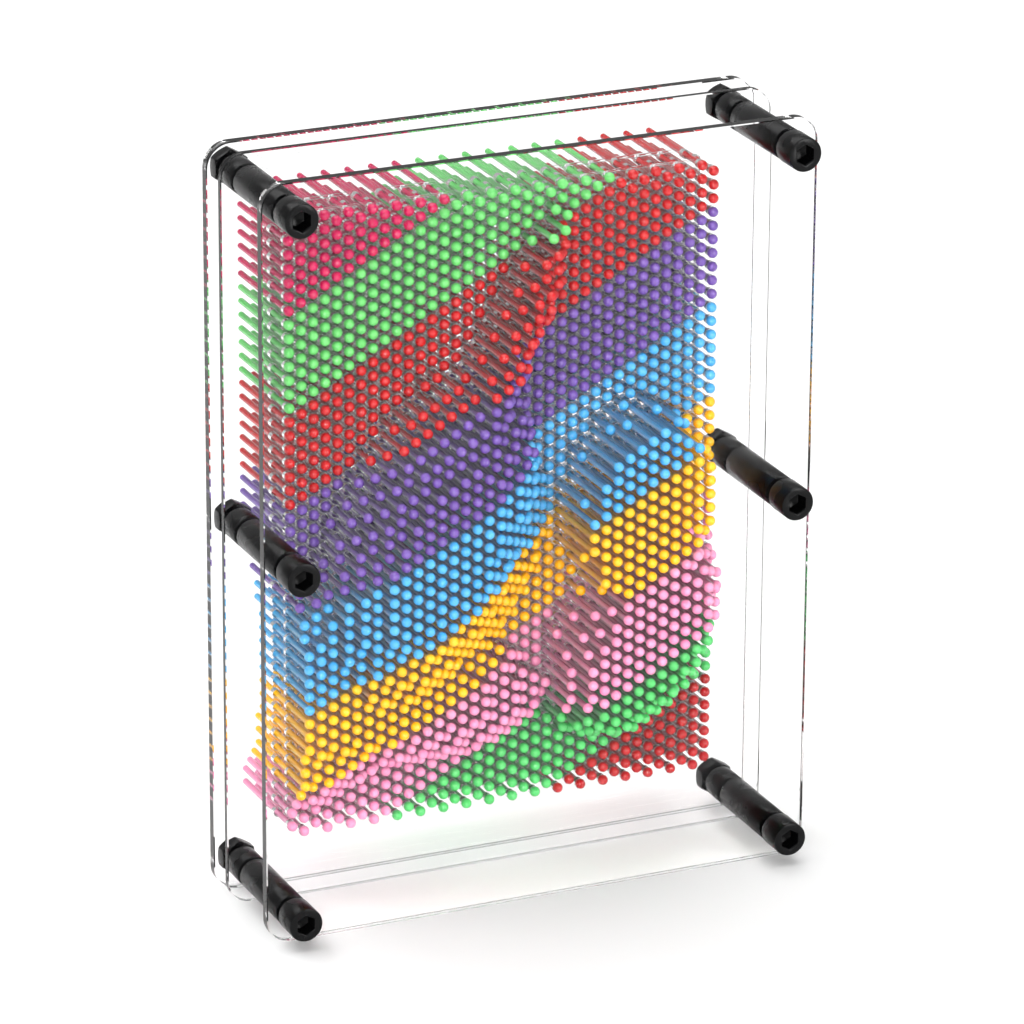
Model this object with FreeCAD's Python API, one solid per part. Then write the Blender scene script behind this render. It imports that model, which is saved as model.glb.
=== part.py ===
import FreeCAD, Part
import math
import os

os.makedirs("parts", exist_ok=True)

# Pin art impression toy: three clear sheets on six black posts, with a field of
# ball-headed pins that slide front to back through the two drilled sheets.
# Sizes are in millimetres. X runs to the right, Y from front to back, Z up. The
# origin is on the ground below the middle of the toy.

# Driving dimensions of the sheets.
sheet_width = 152.0
sheet_height = 203.0
sheet_corner_radius = 6.5
cover_thickness = 3.0
front_guide_thickness = 2.0
rear_guide_thickness = 3.0

# Driving dimensions of the posts.
post_inset = 7.5  # from the sheet's edge to the post's axis
screw_diameter = 5.0
screw_clearance = 0.2  # radial, in the sheets and spacers
screw_end = 1.0  # length that shows behind the nut
cap_diameter = 9.0
cap_length = 8.0
socket_across_flats = 4.7
socket_depth = 4.5
spacer_diameter = 8.6
long_spacer_length = 24.0
short_spacer_length = 7.6
nut_across_flats = 8.5
nut_thickness = 4.0
thread_gap = 0.05  # radial, between the nut and the screw
edge_break = 0.3  # chamfer on the moulded edges

# Driving dimensions of the pin field.
pin_columns = 37
pin_rows = 45  # in the first column; every second column has one more
field_side_margin = 17.14  # from the sheet's side edge to the outer pin column
field_end_margin = 20.1  # from the sheet's top edge to the first column's top pin
head_diameter = 2.8
shank_diameter = 1.6
guide_hole_diameter = 2.4
stop_gap = 0.2  # left between a head and what stops it
tail_hold = 1.2  # what stays in the rear guide plate when a head is at the cover

# Colour bands, from the top left corner down to the bottom right one.
band_rows = 7
band_names = [
    "magenta",
    "upper_green",
    "upper_red",
    "purple",
    "blue",
    "yellow",
    "pink",
    "lower_green",
    "lower_red",
]

# Pins of one band that are pushed in by the same number of steps move as one body.
press_steps = 7

# The toy holds the print of a hand. Each pad of the hand is a rounded lump: its
# middle, half length and half width are shares of the sheet's height, its lean is
# in degrees from level, and its push is a share of the pins' travel.
hand_pads = [
    {"x": -0.055, "z": 0.630, "half_length": 0.295, "half_width": 0.035, "lean": 63, "push": 0.87},
    {"x": -0.120, "z": 0.465, "half_length": 0.245, "half_width": 0.130, "lean": 66, "push": 1.10},
    {"x": -0.175, "z": 0.355, "half_length": 0.295, "half_width": 0.145, "lean": 45, "push": 0.64},
    {"x": -0.190, "z": 0.275, "half_length": 0.245, "half_width": 0.100, "lean": -10, "push": 0.64},
    {"x": 0.165, "z": 0.490, "half_length": 0.125, "half_width": 0.090, "lean": 74, "push": 2.50},
    {"x": 0.165, "z": 0.310, "half_length": 0.155, "half_width": 0.095, "lean": 55, "push": 1.40},
]

# Positions worked out from the driving dimensions, from front to back.
head_radius = head_diameter / 2
shank_radius = shank_diameter / 2
guide_hole_radius = guide_hole_diameter / 2
stack_depth = (
    cover_thickness
    + long_spacer_length
    + front_guide_thickness
    + short_spacer_length
    + rear_guide_thickness
)
# A head at rest sits in the mouth of its guide hole, so its middle is nearer the
# plate than its radius.
head_seat = math.sqrt(head_radius**2 - guide_hole_radius**2) + stop_gap
travel = long_spacer_length - head_seat - head_radius - stop_gap
# From the middle of a head to the tip of its tail.
pin_reach = travel + head_seat + front_guide_thickness + short_spacer_length + tail_hold
tail_proud = pin_reach - head_seat - front_guide_thickness - short_spacer_length - rear_guide_thickness
total_depth = cap_length + stack_depth + tail_proud

cover_front = cap_length - total_depth / 2
cover_back = cover_front + cover_thickness
front_guide_front = cover_back + long_spacer_length
front_guide_back = front_guide_front + front_guide_thickness
rear_guide_front = front_guide_back + short_spacer_length
rear_guide_back = rear_guide_front + rear_guide_thickness
head_rest = front_guide_front - head_seat

screw_hole_radius = screw_diameter / 2 + screw_clearance
row_pitch = (sheet_height - 2 * field_end_margin) / (pin_rows - 1)
column_pitch = (sheet_width - 2 * field_side_margin) / (pin_columns - 1)

to_the_back = FreeCAD.Vector(0, 1, 0)


# Places of the posts: the four corners and half way up each side.
def post_places():
    side = sheet_width / 2 - post_inset
    places = []
    for x in (-side, side):
        for z in (post_inset, sheet_height / 2, sheet_height - post_inset):
            places.append((x, z))
    return places


# Places of the pins, with the colour band of each. Every second column starts half
# a pitch higher and holds one more pin. A band's edge climbs half a pitch a column.
def pin_places():
    places = []
    for column in range(pin_columns):
        shifted = column % 2
        rows = pin_rows + shifted
        x = (column - (pin_columns - 1) / 2) * column_pitch
        for row in range(rows):
            z = sheet_height / 2 + ((rows - 1) / 2 - row) * row_pitch
            half_pitches = 2 * row - shifted + column
            places.append((x, z, half_pitches // (2 * band_rows)))
    return places


# How far the hand has pushed the pin at x, z, as a share of the travel.
def press_at(x, z):
    deepest = 0.0
    for pad in hand_pads:
        lean = math.radians(pad["lean"])
        across = x - pad["x"] * sheet_height
        up = z - pad["z"] * sheet_height
        along = (across * math.cos(lean) + up * math.sin(lean)) / (pad["half_length"] * sheet_height)
        aside = (up * math.cos(lean) - across * math.sin(lean)) / (pad["half_width"] * sheet_height)
        inside = 1 - along**2 - aside**2
        if inside > 0:
            deepest = max(deepest, pad["push"] * math.sqrt(inside))
    return min(deepest, 1.0)


def round_wire(x, y, z, radius):
    return Part.Wire([Part.makeCircle(radius, FreeCAD.Vector(x, y, z), to_the_back)])


# Upright rounded rectangle of the sheets, as a closed wire at depth y.
def sheet_outline(y):
    right = sheet_width / 2
    corners = [(-right, 0.0), (right, 0.0), (right, sheet_height), (-right, sheet_height)]
    middles = [(math.copysign(right - sheet_corner_radius, x), z) for x, z in corners]
    middles = [
        (x, min(max(z, sheet_corner_radius), sheet_height - sheet_corner_radius)) for x, z in middles
    ]
    edges = []
    last_end = None
    first_start = None
    for number, (x, z) in enumerate(middles):
        turn = math.radians(180 + 90 * number)
        points = []
        for part_turn in (0, math.pi / 4, math.pi / 2):
            angle = turn + part_turn
            points.append(
                FreeCAD.Vector(
                    x + sheet_corner_radius * math.cos(angle), y, z + sheet_corner_radius * math.sin(angle)
                )
            )
        if last_end is None:
            first_start = points[0]
        else:
            edges.append(Part.makeLine(last_end, points[0]))
        edges.append(Part.Arc(*points).toShape())
        last_end = points[2]
    edges.append(Part.makeLine(last_end, first_start))
    return Part.Wire(edges)


# One clear sheet with its screw holes and, if it guides the pins, their holes.
def make_sheet(front, thickness, guides_pins):
    wires = [sheet_outline(front)]
    for x, z in post_places():
        wires.append(round_wire(x, front, z, screw_hole_radius))
    if guides_pins:
        for x, z, band in pin_places():
            wires.append(round_wire(x, front, z, guide_hole_radius))
    return Part.Face(wires).extrude(FreeCAD.Vector(0, thickness, 0))


# Solid with its round ends chamfered at the given depths.
def break_round_edges(solid, depths):
    edges = []
    for edge in solid.Edges:
        is_round = edge.Curve.TypeId == "Part::GeomCircle"
        at_end = any(abs(edge.BoundBox.Center.y - depth) < 1e-6 for depth in depths)
        if is_round and at_end:
            edges.append(edge)
    return solid.makeChamfer(edge_break, edges)


def hexagon_prism(across_flats, length, front):
    radius = across_flats / math.sqrt(3)
    points = []
    for corner in range(7):
        angle = math.radians(90 + 60 * corner)
        points.append(FreeCAD.Vector(radius * math.cos(angle), front, radius * math.sin(angle)))
    return Part.Face(Part.makePolygon(points)).extrude(FreeCAD.Vector(0, length, 0))


# Cap screw on the Y axis: a tall round cap with a hexagon socket and a drilled
# bottom, and a shank that runs through all three sheets and the nut.
def make_cap_screw():
    cap_front = cover_front - cap_length
    cap = Part.makeCylinder(cap_diameter / 2, cap_length, FreeCAD.Vector(0, cap_front, 0), to_the_back)
    cap = break_round_edges(cap, [cap_front, cover_front])
    shank_length = stack_depth + nut_thickness + screw_end
    shank = Part.makeCylinder(
        screw_diameter / 2, shank_length, FreeCAD.Vector(0, cover_front, 0), to_the_back
    )
    shank = break_round_edges(shank, [cover_front + shank_length])
    socket = hexagon_prism(socket_across_flats, socket_depth, cap_front)
    drill_radius = socket_across_flats * 0.4
    drill = Part.makeCone(
        drill_radius,
        drill_radius / 2,
        drill_radius / 2,
        FreeCAD.Vector(0, cap_front + socket_depth, 0),
        to_the_back,
    )
    return cap.fuse(shank).cut(socket.fuse(drill)).removeSplitter()


# Spacer tube on the Y axis.
def make_spacer(front, length):
    tube = Part.makeCylinder(spacer_diameter / 2, length, FreeCAD.Vector(0, front, 0), to_the_back)
    tube = break_round_edges(tube, [front, front + length])
    return tube.cut(Part.makeCylinder(screw_hole_radius, length, FreeCAD.Vector(0, front, 0), to_the_back))


# Hexagon nut on the Y axis, its corners turned down on both faces.
def make_nut():
    front = rear_guide_back
    blank = hexagon_prism(nut_across_flats, nut_thickness, front)
    corner_radius = nut_across_flats / math.sqrt(3)
    turned = Part.makeCylinder(corner_radius, nut_thickness, FreeCAD.Vector(0, front, 0), to_the_back)
    turned = turned.makeChamfer(
        corner_radius - nut_across_flats / 2, [edge for edge in turned.Edges if len(edge.Vertexes) == 1]
    )
    bore = Part.makeCylinder(
        screw_diameter / 2 + thread_gap, nut_thickness, FreeCAD.Vector(0, front, 0), to_the_back
    )
    return blank.common(turned).cut(bore)


# Copies of one post piece at all six posts.
def at_every_post(piece):
    copies = []
    for x, z in post_places():
        copy = piece.copy()
        copy.translate(FreeCAD.Vector(x, 0, z))
        copies.append(copy)
    return Part.makeCompound(copies)


# Pin on the Y axis with the middle of its ball head at the origin: a ball on a plain
# round shank that is cut off flat.
def make_pin():
    head = Part.makeSphere(head_radius, FreeCAD.Vector(0, 0, 0), to_the_back)
    shank = Part.makeCylinder(shank_radius, pin_reach, FreeCAD.Vector(0, 0, 0), to_the_back)
    return head.fuse(shank).removeSplitter()


# All pins, gathered by colour band and by how many steps they are pushed in.
def make_pin_groups():
    pin = make_pin()
    groups = {}
    for x, z, band in pin_places():
        steps = round(press_at(x, z) * press_steps)
        copy = pin.copy()
        copy.translate(FreeCAD.Vector(x, head_rest - travel * steps / press_steps, z))
        name = "pins_%s_push_%d" % (band_names[band], steps)
        groups.setdefault(name, []).append(copy)
    return groups


nodes = {
    "front_cover": make_sheet(cover_front, cover_thickness, False),
    "front_guide_plate": make_sheet(front_guide_front, front_guide_thickness, True),
    "rear_guide_plate": make_sheet(rear_guide_front, rear_guide_thickness, True),
    "cap_screws": at_every_post(make_cap_screw()),
    "long_spacers": at_every_post(make_spacer(cover_back, long_spacer_length)),
    "short_spacers": at_every_post(make_spacer(front_guide_back, short_spacer_length)),
    "hex_nuts": at_every_post(make_nut()),
}
for name, pins in make_pin_groups().items():
    nodes[name] = Part.makeCompound(pins)

for name, shape in nodes.items():
    shape.exportStep("parts/" + name + ".step")
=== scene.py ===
import math

import bpy
from mathutils import Matrix, Vector


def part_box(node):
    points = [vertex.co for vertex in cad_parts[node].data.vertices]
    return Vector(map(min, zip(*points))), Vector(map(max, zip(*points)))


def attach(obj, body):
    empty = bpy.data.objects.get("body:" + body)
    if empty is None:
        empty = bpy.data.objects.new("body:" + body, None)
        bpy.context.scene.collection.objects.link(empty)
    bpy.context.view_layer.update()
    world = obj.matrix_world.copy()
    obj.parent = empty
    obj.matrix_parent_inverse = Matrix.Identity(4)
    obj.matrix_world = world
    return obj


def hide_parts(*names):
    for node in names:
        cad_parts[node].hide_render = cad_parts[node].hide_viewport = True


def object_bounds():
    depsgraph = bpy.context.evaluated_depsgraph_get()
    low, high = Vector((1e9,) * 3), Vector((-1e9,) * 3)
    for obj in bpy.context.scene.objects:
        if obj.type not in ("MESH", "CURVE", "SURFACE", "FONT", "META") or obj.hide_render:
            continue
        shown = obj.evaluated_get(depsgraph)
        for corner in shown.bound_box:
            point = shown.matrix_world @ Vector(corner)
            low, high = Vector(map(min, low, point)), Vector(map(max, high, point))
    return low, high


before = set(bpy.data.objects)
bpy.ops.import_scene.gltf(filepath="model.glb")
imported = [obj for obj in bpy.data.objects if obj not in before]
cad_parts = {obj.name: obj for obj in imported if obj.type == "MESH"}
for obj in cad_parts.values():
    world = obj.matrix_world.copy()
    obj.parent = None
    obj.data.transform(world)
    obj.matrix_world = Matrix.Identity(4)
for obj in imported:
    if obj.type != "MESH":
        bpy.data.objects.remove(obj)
cad_low, cad_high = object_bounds()
mm = 0.001


# Clear sheets: the front cover and the two drilled guide plates. They are laser-cut
# from cast acrylic, so their faces are polished like glass and their cut edges are
# clear too, with the sharp rim of the outline just taken off.
def linear(hex_colour):
    channels = []
    for place in (0, 2, 4):
        value = int(hex_colour[place : place + 2], 16) / 255
        channels.append(value / 12.92 if value <= 0.04045 else ((value + 0.055) / 1.055) ** 2.4)
    return (*channels, 1.0)


def add_node(tree, kind, settings=None, values=None, links=None):
    node = tree.nodes.new(kind)
    for name, value in (settings or {}).items():
        setattr(node, name, value)
    for name, value in (values or {}).items():
        node.inputs[name].default_value = value
    for name, source in (links or {}).items():
        tree.links.new(source, node.inputs[name])
    return node


def new_material(name):
    material = bpy.data.materials.new(name)
    material.use_nodes = True
    material.node_tree.nodes.clear()
    return material, material.node_tree


# Cast acrylic, laser-cut: clear as glass, with the faint haze of a handled surface.
# Lamps shine through it, because it is too thin to throw a shadow worth seeing. Its
# reflections are dimmed, so that the cover does not mirror the pale floor over the pins.
def cast_acrylic():
    haze_size = 30 * mm
    material, tree = new_material("cast_acrylic_polished")
    place = add_node(tree, "ShaderNodeTexCoord")
    haze = add_node(
        tree,
        "ShaderNodeTexNoise",
        values={"Scale": 1 / haze_size, "Detail": 4.0},
        links={"Vector": place.outputs["Object"]},
    )
    roughness = add_node(
        tree,
        "ShaderNodeMapRange",
        values={"From Min": 0.3, "From Max": 0.8, "To Min": 0.0, "To Max": 0.01},
        links={"Value": haze.outputs["Fac"]},
    )
    acrylic = add_node(
        tree,
        "ShaderNodeBsdfPrincipled",
        values={
            "Base Color": linear("FDFDFD"),
            "IOR": 1.49,
            "Specular Tint": (0.1, 0.1, 0.1, 1.0),
            "Transmission Weight": 1.0,
        },
        links={"Roughness": roughness.outputs["Result"]},
    )
    open_way = add_node(tree, "ShaderNodeBsdfTransparent", values={"Color": linear("FDFDFD")})
    path = add_node(tree, "ShaderNodeLightPath")
    either = add_node(tree, "ShaderNodeMixShader", links={"Fac": path.outputs["Is Shadow Ray"]})
    tree.links.new(acrylic.outputs["BSDF"], either.inputs[1])
    tree.links.new(open_way.outputs["BSDF"], either.inputs[2])
    add_node(tree, "ShaderNodeOutputMaterial", links={"Surface": either.outputs["Shader"]})
    return material


def deselect_all():
    for thing in bpy.context.selected_objects:
        thing.select_set(False)


def make_active(thing):
    deselect_all()
    thing.select_set(True)
    bpy.context.view_layer.objects.active = thing


# Places of a group's pins: the pole of each ball is the foremost point of its pin.
def pin_places(node):
    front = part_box(node)[0].y
    places = set()
    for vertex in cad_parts[node].data.vertices:
        if vertex.co.y < front + 0.001 * mm:
            places.add((round(vertex.co.x, 5), round(vertex.co.z, 5)))
    return sorted(places)


# Adds a closed ring of short straight runs to a flat curve.
def add_ring(curve, points):
    ring = curve.splines.new("POLY")
    ring.points.add(len(points) - 1)
    for point, (across, up) in zip(ring.points, points):
        point.co = (across, up, 0, 1)
    ring.use_cyclic_u = True


def circle_points(across, up, radius, steps):
    points = []
    for step in range(steps):
        angle = math.tau * step / steps
        points.append((across + radius * math.cos(angle), up + radius * math.sin(angle)))
    return points


def outline_points(low, high):
    points = []
    for corner, (x, z) in enumerate(((high.x, high.z), (low.x, high.z), (low.x, low.z), (high.x, low.z))):
        middle_x = x - math.copysign(sheet_corner_radius, x)
        middle_z = z - sheet_corner_radius if corner < 2 else z + sheet_corner_radius
        for step in range(corner_steps + 1):
            angle = math.radians(90) * (corner + step / corner_steps)
            points.append(
                (
                    middle_x + sheet_corner_radius * math.cos(angle),
                    middle_z + sheet_corner_radius * math.sin(angle),
                )
            )
    return points


def on_outline(vertex, low, high):
    across = abs(vertex.co.x) - (high.x - sheet_corner_radius)
    up = abs(vertex.co.z - (low.z + high.z) / 2) - ((high.z - low.z) / 2 - sheet_corner_radius)
    reach = math.hypot(across, up) if across > 0 and up > 0 else max(across, up)
    return abs(reach - sheet_corner_radius) < 0.01 * mm


# A sheet: its outline and holes drawn as one flat curve, filled, given its thickness
# and made a mesh, whose outer rims are then bevelled.
def clear_sheet(node, pin_holes):
    low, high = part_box(node)
    curve = bpy.data.curves.new(node, "CURVE")
    curve.dimensions = "2D"
    curve.fill_mode = "BOTH"
    curve.extrude = (high.y - low.y) / 2
    add_ring(curve, outline_points(low, high))
    for x, z in posts:
        add_ring(curve, circle_points(x, z, screw_hole_radius, 32))
    for x, z in pin_holes:
        add_ring(curve, circle_points(x, z, guide_hole_radius, 16))
    sheet = bpy.data.objects.new("clear_" + node, curve)
    bpy.context.collection.objects.link(sheet)
    make_active(sheet)
    bpy.ops.object.convert(target="MESH")
    sheet = bpy.context.active_object
    stand_up = Matrix.Rotation(math.radians(90), 4, "X")
    to_place = Matrix.Translation(Vector((0, (low.y + high.y) / 2, 0)))
    sheet.data.transform(to_place @ stand_up)
    bpy.ops.object.mode_set(mode="EDIT")
    bpy.ops.mesh.select_all(action="SELECT")
    bpy.ops.mesh.remove_doubles(threshold=0.001 * mm)
    bpy.ops.mesh.normals_make_consistent(inside=False)
    bpy.ops.mesh.select_mode(type="EDGE")
    bpy.ops.mesh.select_all(action="DESELECT")
    bpy.ops.mesh.edges_select_sharp(sharpness=math.radians(60))
    bpy.ops.object.mode_set(mode="OBJECT")
    vertices = sheet.data.vertices
    for edge in sheet.data.edges:
        if edge.select:
            edge.select = all(on_outline(vertices[number], low, high) for number in edge.vertices)
    bpy.ops.object.mode_set(mode="EDIT")
    bpy.ops.mesh.bevel(offset=rim_bevel, segments=1, affect="EDGES")
    bpy.ops.object.mode_set(mode="OBJECT")
    bpy.ops.object.shade_smooth_by_angle(angle=math.radians(25))
    sheet.data.materials.clear()
    sheet.data.materials.append(acrylic)
    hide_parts(node)
    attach(sheet, "frame")


sheet_corner_radius = 6.5 * mm
corner_steps = 12
rim_bevel = 0.25 * mm
cap_radius = 4.5 * mm
screw_hole_radius = 2.7 * mm
guide_hole_radius = 1.2 * mm
screw_low, screw_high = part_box("cap_screws")
posts = []
for post_x in (screw_low.x + cap_radius, screw_high.x - cap_radius):
    for post_z in (screw_low.z + cap_radius, (screw_low.z + screw_high.z) / 2, screw_high.z - cap_radius):
        posts.append((post_x, post_z))
pin_nodes = sorted(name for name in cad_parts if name.startswith("pins_"))
places_of = {node: pin_places(node) for node in pin_nodes}
all_places = sorted(place for places in places_of.values() for place in places)
acrylic = cast_acrylic()
clear_sheet("front_cover", [])
clear_sheet("front_guide_plate", all_places)
clear_sheet("rear_guide_plate", all_places)


# Cap screws: six black nylon screws with a tall round cap and a hexagon socket. They
# are injection-moulded, so every rim is a little rounded. Each runs through all three
# sheets and ends in a nut.
def apply_modifier(thing, kind, settings):
    make_active(thing)
    modifier = thing.modifiers.new(kind.lower(), kind)
    for name, value in settings.items():
        setattr(modifier, name, value)
    bpy.ops.object.modifier_apply(modifier=modifier.name)


def round_bar(name, radius, low, high, sides=48, ends="NGON"):
    deselect_all()
    bpy.ops.mesh.primitive_cylinder_add(
        vertices=sides,
        radius=radius,
        depth=high - low,
        end_fill_type=ends,
        location=(0, 0, (low + high) / 2),
    )
    bar = bpy.context.active_object
    bar.name = name
    bpy.ops.object.transform_apply(location=True, rotation=True, scale=True)
    return bar


# Cuts tool out of thing, or keeps what they share, and removes tool.
def combine(thing, tool, operation):
    apply_modifier(thing, "BOOLEAN", {"object": tool, "operation": operation, "solver": "EXACT"})
    bpy.data.objects.remove(tool)


def round_rims(thing, width):
    apply_modifier(
        thing,
        "BEVEL",
        {"width": width, "segments": 2, "limit_method": "ANGLE", "angle_limit": math.radians(35)},
    )
    make_active(thing)
    bpy.ops.object.shade_smooth_by_angle(angle=math.radians(40))


# Pieces of a post are modelled upright, with their front end up, and then laid with
# that end to the front and copied to the six posts as one group.
def set_at_posts(piece, name, node, material):
    piece.data.transform(Matrix.Rotation(math.radians(90), 4, "X"))
    copies = []
    for x, z in posts:
        copy = piece.copy()
        copy.data = piece.data.copy()
        bpy.context.collection.objects.link(copy)
        copy.data.transform(Matrix.Translation(Vector((x, 0, z))))
        copies.append(copy)
    bpy.data.objects.remove(piece)
    deselect_all()
    for copy in copies:
        copy.select_set(True)
    bpy.context.view_layer.objects.active = copies[0]
    bpy.ops.object.join()
    group = bpy.context.active_object
    group.name = name
    group.data.name = name
    group.data.materials.clear()
    group.data.materials.append(material)
    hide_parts(node)
    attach(group, "frame")
    return group


# Places of a colour Mix node's sockets: its two colours and their mix.
first_colour, second_colour, mixed_colour = 6, 7, 2


# Moulded black nylon: satin, with the faint orange-peel of the mould, and a tone and
# gloss that vary a little in soft patches.
def moulded_black_nylon():
    grain_size = 0.6 * mm
    cloud_size = 9 * mm
    material, tree = new_material("moulded_black_nylon")
    place = add_node(tree, "ShaderNodeTexCoord")
    grain = add_node(
        tree,
        "ShaderNodeTexNoise",
        values={"Scale": 1 / grain_size, "Detail": 3.0},
        links={"Vector": place.outputs["Object"]},
    )
    cloud = add_node(
        tree,
        "ShaderNodeTexNoise",
        values={"Scale": 1 / cloud_size, "Detail": 2.0},
        links={"Vector": place.outputs["Object"]},
    )
    colour = add_node(
        tree,
        "ShaderNodeMix",
        settings={"data_type": "RGBA"},
        values={first_colour: linear("040405"), second_colour: linear("0A0A0B")},
        links={"Factor": cloud.outputs["Fac"]},
    )
    roughness = add_node(
        tree,
        "ShaderNodeMapRange",
        values={"From Min": 0.3, "From Max": 0.7, "To Min": 0.2, "To Max": 0.32},
        links={"Value": cloud.outputs["Fac"]},
    )
    bump = add_node(
        tree,
        "ShaderNodeBump",
        values={"Strength": 0.15, "Distance": 0.05 * mm},
        links={"Height": grain.outputs["Fac"]},
    )
    nylon = add_node(
        tree,
        "ShaderNodeBsdfPrincipled",
        values={"IOR": 1.53, "Specular IOR Level": 0.15},
        links={
            "Base Color": colour.outputs[mixed_colour],
            "Roughness": roughness.outputs["Result"],
            "Normal": bump.outputs["Normal"],
        },
    )
    add_node(tree, "ShaderNodeOutputMaterial", links={"Surface": nylon.outputs["BSDF"]})
    return material


def cap_screw():
    cap = round_bar("cap_screw", cap_radius, -cover_front, -screw_front)
    make_active(cap)
    bpy.ops.object.mode_set(mode="EDIT")
    bpy.ops.mesh.select_all(action="DESELECT")
    bpy.ops.object.mode_set(mode="OBJECT")
    for face in cap.data.polygons:
        face.select = face.normal.z < -0.9
    bpy.ops.object.mode_set(mode="EDIT")
    bpy.ops.mesh.inset(thickness=cap_radius - screw_radius)
    bpy.ops.mesh.extrude_region_move(TRANSFORM_OT_translate={"value": (0, 0, cover_front - screw_back)})
    bpy.ops.object.mode_set(mode="OBJECT")
    socket_floor = -screw_front - socket_depth
    socket = round_bar(
        "socket", socket_across_flats / math.sqrt(3), socket_floor, -screw_front + cap_radius, sides=6
    )
    combine(cap, socket, "DIFFERENCE")
    deselect_all()
    bpy.ops.mesh.primitive_cone_add(
        vertices=24,
        radius1=0,
        radius2=drill_radius,
        depth=drill_depth,
        location=(0, 0, socket_floor - drill_depth / 2 + 0.01 * mm),
    )
    combine(cap, bpy.context.active_object, "DIFFERENCE")
    round_rims(cap, rim_round)
    return cap


screw_radius = 2.5 * mm
socket_across_flats = 4.7 * mm
socket_depth = 4.5 * mm
drill_depth = 1 * mm
drill_radius = 0.4 * socket_across_flats
rim_round = 0.3 * mm
screw_front = screw_low.y
screw_back = screw_high.y
cover_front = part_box("front_cover")[0].y
nylon = moulded_black_nylon()
set_at_posts(cap_screw(), "socket_cap_screws", "cap_screws", nylon)


# Spacers: six long and six short tubes of the same black nylon. They slip over the
# screws and set the gaps between the sheets.
def spacer(node):
    spacer_low, spacer_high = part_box(node)
    spacer_radius = (spacer_high.x - spacer_low.x) / 2 - posts[-1][0]
    tube = round_bar(node, spacer_radius, -spacer_high.y, -spacer_low.y, ends="NOTHING")
    apply_modifier(tube, "SOLIDIFY", {"thickness": spacer_wall, "offset": -1.0})
    round_rims(tube, rim_round)
    return tube


spacer_wall = 1.6 * mm
for spacer_node in ("long_spacers", "short_spacers"):
    set_at_posts(spacer(spacer_node), spacer_node + "_moulded", spacer_node, nylon)


# Nuts: six black hexagon nuts that clamp the stack from behind. Their corners are
# turned down where they meet the flat faces.
def hexagon_nut():
    nut_low, nut_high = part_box("hex_nuts")
    corner_radius = nut_across_flats / math.sqrt(3)
    nut = round_bar("nut", corner_radius, -nut_high.y, -nut_low.y, sides=6)
    turned = round_bar("turned", corner_radius, -nut_high.y, -nut_low.y)
    apply_modifier(
        turned,
        "BEVEL",
        {
            "width": corner_radius - nut_across_flats / 2,
            "segments": 1,
            "limit_method": "ANGLE",
            "angle_limit": math.radians(60),
        },
    )
    combine(nut, turned, "INTERSECT")
    bore = round_bar("bore", screw_radius + thread_gap, -nut_high.y - mm, -nut_low.y + mm)
    combine(nut, bore, "DIFFERENCE")
    round_rims(nut, nut_rim_round)
    return nut


nut_across_flats = 8.5 * mm
nut_rim_round = 0.12 * mm
thread_gap = 0.05 * mm
set_at_posts(hexagon_nut(), "moulded_hex_nuts", "hex_nuts", nylon)


# Pins: 1683 ball-headed pins in nine diagonal colour stripes. Each is moulded in one
# shot of dyed polystyrene, with a ball for a head and a straight round shank. They
# slide in the holes of the guide plates. Those that move together are one piece.
def ball_headed_pin(length):
    deselect_all()
    bpy.ops.mesh.primitive_uv_sphere_add(segments=10, ring_count=6, radius=head_radius)
    pin = bpy.context.active_object
    pin.name = "pin"
    bpy.ops.object.mode_set(mode="EDIT")
    bpy.ops.mesh.select_mode(type="VERT")
    bpy.ops.mesh.select_all(action="DESELECT")
    bpy.ops.object.mode_set(mode="OBJECT")
    for vertex in pin.data.vertices:
        vertex.select = vertex.co.z < -0.99 * head_radius
    bpy.ops.object.mode_set(mode="EDIT")
    bpy.ops.mesh.delete(type="VERT")
    bpy.ops.object.mode_set(mode="OBJECT")
    neck = -math.sqrt(head_radius**2 - shank_radius**2)
    back_ring = min(vertex.co.z for vertex in pin.data.vertices)
    ring_radius = math.sqrt(head_radius**2 - back_ring**2)
    for vertex in pin.data.vertices:
        vertex.select = vertex.co.z < back_ring + 0.01 * head_radius
    bpy.ops.object.mode_set(mode="EDIT")
    narrow = shank_radius / ring_radius
    bpy.ops.transform.resize(value=(narrow, narrow, 1))
    bpy.ops.transform.translate(value=(0, 0, neck - back_ring))
    bpy.ops.mesh.extrude_region_move(
        TRANSFORM_OT_translate={"value": (0, 0, -(length - head_radius) - neck)}
    )
    bpy.ops.mesh.edge_face_add()
    bpy.ops.mesh.select_all(action="SELECT")
    bpy.ops.mesh.normals_make_consistent(inside=False)
    bpy.ops.object.mode_set(mode="OBJECT")
    bpy.ops.object.shade_smooth_by_angle(angle=math.radians(60))
    pin.data.transform(Matrix.Rotation(math.radians(90), 4, "X"))
    return pin


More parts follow.
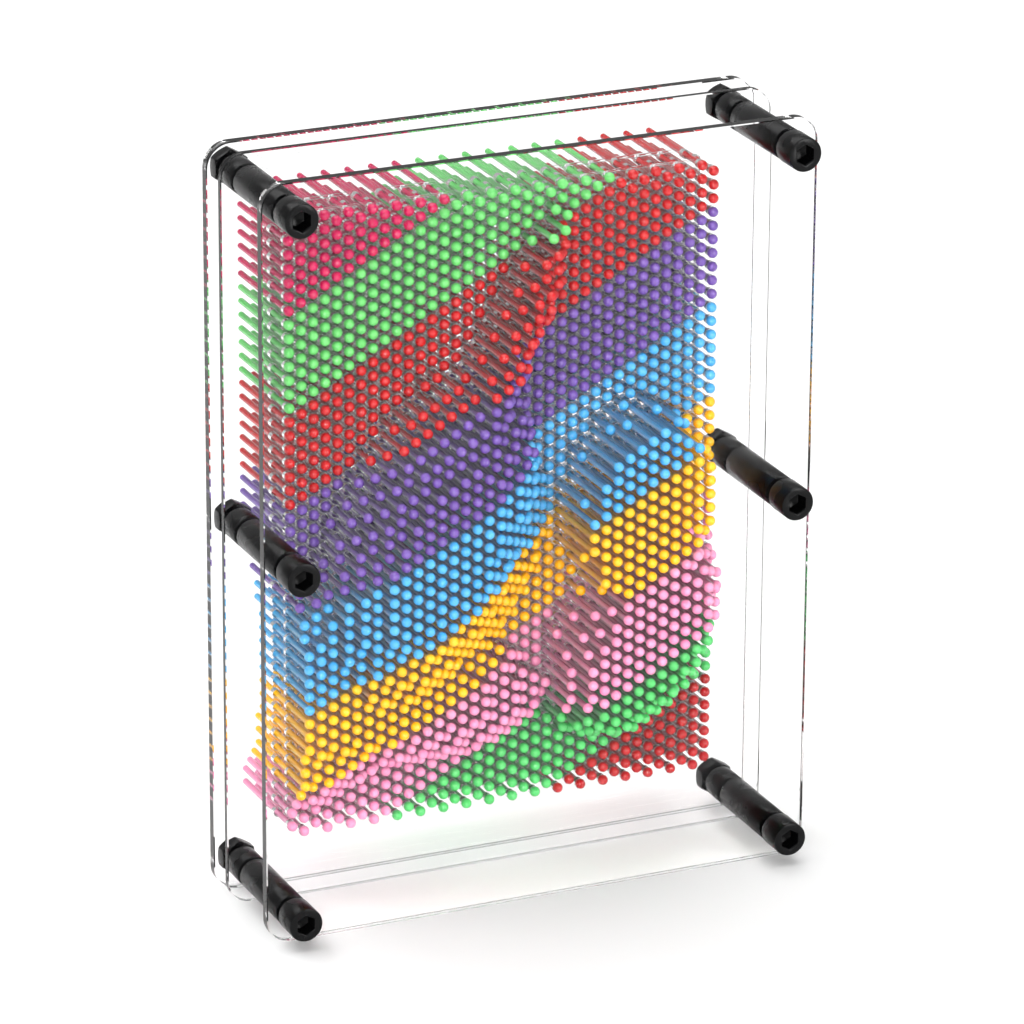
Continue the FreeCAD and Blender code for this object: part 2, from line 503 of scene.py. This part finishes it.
# Dyed polystyrene: glossy, a little see-through, and brighter where light gathers in
# the ball. The dye differs by a shade from pin to pin.
def dyed_polystyrene(name, colour, deep_colour):
    pin_spacing = 3.7 * mm
    material, tree = new_material("dyed_polystyrene_" + name)
    place = add_node(tree, "ShaderNodeTexCoord")
    each_pin = add_node(
        tree,
        "ShaderNodeVectorMath",
        settings={"operation": "MULTIPLY"},
        values={1: (1 / pin_spacing, 0, 1 / pin_spacing)},
        links={0: place.outputs["Object"]},
    )
    shade = add_node(
        tree,
        "ShaderNodeTexNoise",
        values={"Scale": 1.0, "Detail": 2.0},
        links={"Vector": each_pin.outputs[0]},
    )
    dye = add_node(
        tree,
        "ShaderNodeMix",
        settings={"data_type": "RGBA"},
        values={first_colour: linear(colour), second_colour: linear(deep_colour)},
        links={"Factor": shade.outputs["Fac"]},
    )
    roughness = add_node(
        tree,
        "ShaderNodeMapRange",
        values={"From Min": 0.3, "From Max": 0.7, "To Min": 0.1, "To Max": 0.18},
        links={"Value": shade.outputs["Fac"]},
    )
    plastic = add_node(
        tree,
        "ShaderNodeBsdfPrincipled",
        values={
            "IOR": 1.59,
            "Subsurface Weight": 0.6,
            "Subsurface Radius": (1, 1, 1),
            "Subsurface Scale": 0.8 * mm,
        },
        links={"Base Color": dye.outputs[mixed_colour], "Roughness": roughness.outputs["Result"]},
    )
    add_node(tree, "ShaderNodeOutputMaterial", links={"Surface": plastic.outputs["BSDF"]})
    return material


head_radius = 1.4 * mm
shank_radius = 0.8 * mm
stripe_colours = {
    "magenta": ("CC1058", "A40A44"),
    "upper_green": ("74CC74", "4CAE52"),
    "upper_red": ("C8181C", "A40E12"),
    "purple": ("7A58AA", "5A3E8E"),
    "blue": ("62B8E2", "2490CC"),
    "yellow": ("FFC614", "F8AA06"),
    "pink": ("F0A8C6", "DC78A4"),
    "lower_green": ("62CE76", "3EB258"),
    "lower_red": ("C42024", "A01418"),
}
rest_node = "pins_magenta_push_0"
pin_low, pin_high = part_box(rest_node)
one_pin = ball_headed_pin(pin_high.y - pin_low.y)
for stripe, (colour, deep_colour) in stripe_colours.items():
    plastic = dyed_polystyrene(stripe, colour, deep_colour)
    prefix = "pins_" + stripe + "_push_"
    for node in [name for name in pin_nodes if name.startswith(prefix)]:
        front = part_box(node)[0].y
        copies = []
        for x, z in places_of[node]:
            copy = bpy.data.objects.new(node, one_pin.data.copy())
            bpy.context.collection.objects.link(copy)
            copy.data.transform(Matrix.Translation(Vector((x, front + head_radius, z))))
            copies.append(copy)
        deselect_all()
        for copy in copies:
            copy.select_set(True)
        bpy.context.view_layer.objects.active = copies[0]
        bpy.ops.object.join()
        group = bpy.context.active_object
        group.name = node.replace("pins_", "ball_pins_")
        group.data.materials.clear()
        group.data.materials.append(plastic)
        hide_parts(node)
        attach(group, node + "_body")
bpy.data.objects.remove(one_pin)


# Studio: a white floor that runs off to all sides, dim even light from all around and
# three soft lamps: a large one above and behind the toy, and two in front of it.
def studio_floor():
    deselect_all()
    bpy.ops.mesh.primitive_plane_add(size=12, location=(0, 0, cad_low.z))
    floor = bpy.context.active_object
    floor.name = "studio_floor"
    material, tree = new_material("matt_white_backdrop")
    paper = add_node(
        tree,
        "ShaderNodeBsdfPrincipled",
        values={"Base Color": linear("FAFAFA"), "Roughness": 0.9, "Specular IOR Level": 0.1},
    )
    add_node(tree, "ShaderNodeOutputMaterial", links={"Surface": paper.outputs["BSDF"]})
    floor.data.materials.append(material)


def soft_lamp(name, place, aim, size, power):
    lamp = bpy.data.lights.new(name, "AREA")
    lamp.shape = "SQUARE"
    lamp.size = size
    lamp.energy = power
    thing = bpy.data.objects.new(name, lamp)
    bpy.context.collection.objects.link(thing)
    thing.location = place
    thing.rotation_euler = (aim - place).to_track_quat("-Z", "Y").to_euler()


studio_floor()
middle = (cad_low + cad_high) / 2
soft_lamp("lamp_overhead", middle + Vector((-0.2, 0.7, 1.6)), middle + Vector((0, 0.6, 0)), 2.2, 36)
soft_lamp("lamp_front_left", middle + Vector((-0.8, -1.5, 0.55)), middle, 0.6, 13)
soft_lamp("lamp_front_right", middle + Vector((0.7, -1.5, 0.2)), middle, 0.5, 8)
world = bpy.data.worlds.new("pale_room")
world.use_nodes = True
world.node_tree.nodes["Background"].inputs["Color"].default_value = (1, 1, 1, 1)
world.node_tree.nodes["Background"].inputs["Strength"].default_value = 0.45
bpy.context.scene.world = world
bpy.context.scene.view_settings.view_transform = "Standard"


# Camera: a long lens, a little above the toy and to the left of its front.
camera_azimuth = math.radians(-24.15)
camera_elevation = math.radians(20.8)
camera_roll = math.radians(0.35)
camera_distance = 1.6355
camera_data = bpy.data.cameras.new("camera")
camera_data.sensor_width = 36
camera_data.lens = 227.2
camera = bpy.data.objects.new("camera", camera_data)
bpy.context.collection.objects.link(camera)
bpy.context.scene.camera = camera
aim = Vector((-8.4 * mm, cover_front, 108.1 * mm))
towards_camera = Vector(
    (
        math.sin(camera_azimuth) * math.cos(camera_elevation),
        -math.cos(camera_azimuth) * math.cos(camera_elevation),
        math.sin(camera_elevation),
    )
)
camera.location = aim + towards_camera * camera_distance
turn = (-towards_camera).to_track_quat("-Z", "Y").to_matrix().to_4x4()
camera.rotation_euler = (turn @ Matrix.Rotation(camera_roll, 4, "Z")).to_euler()
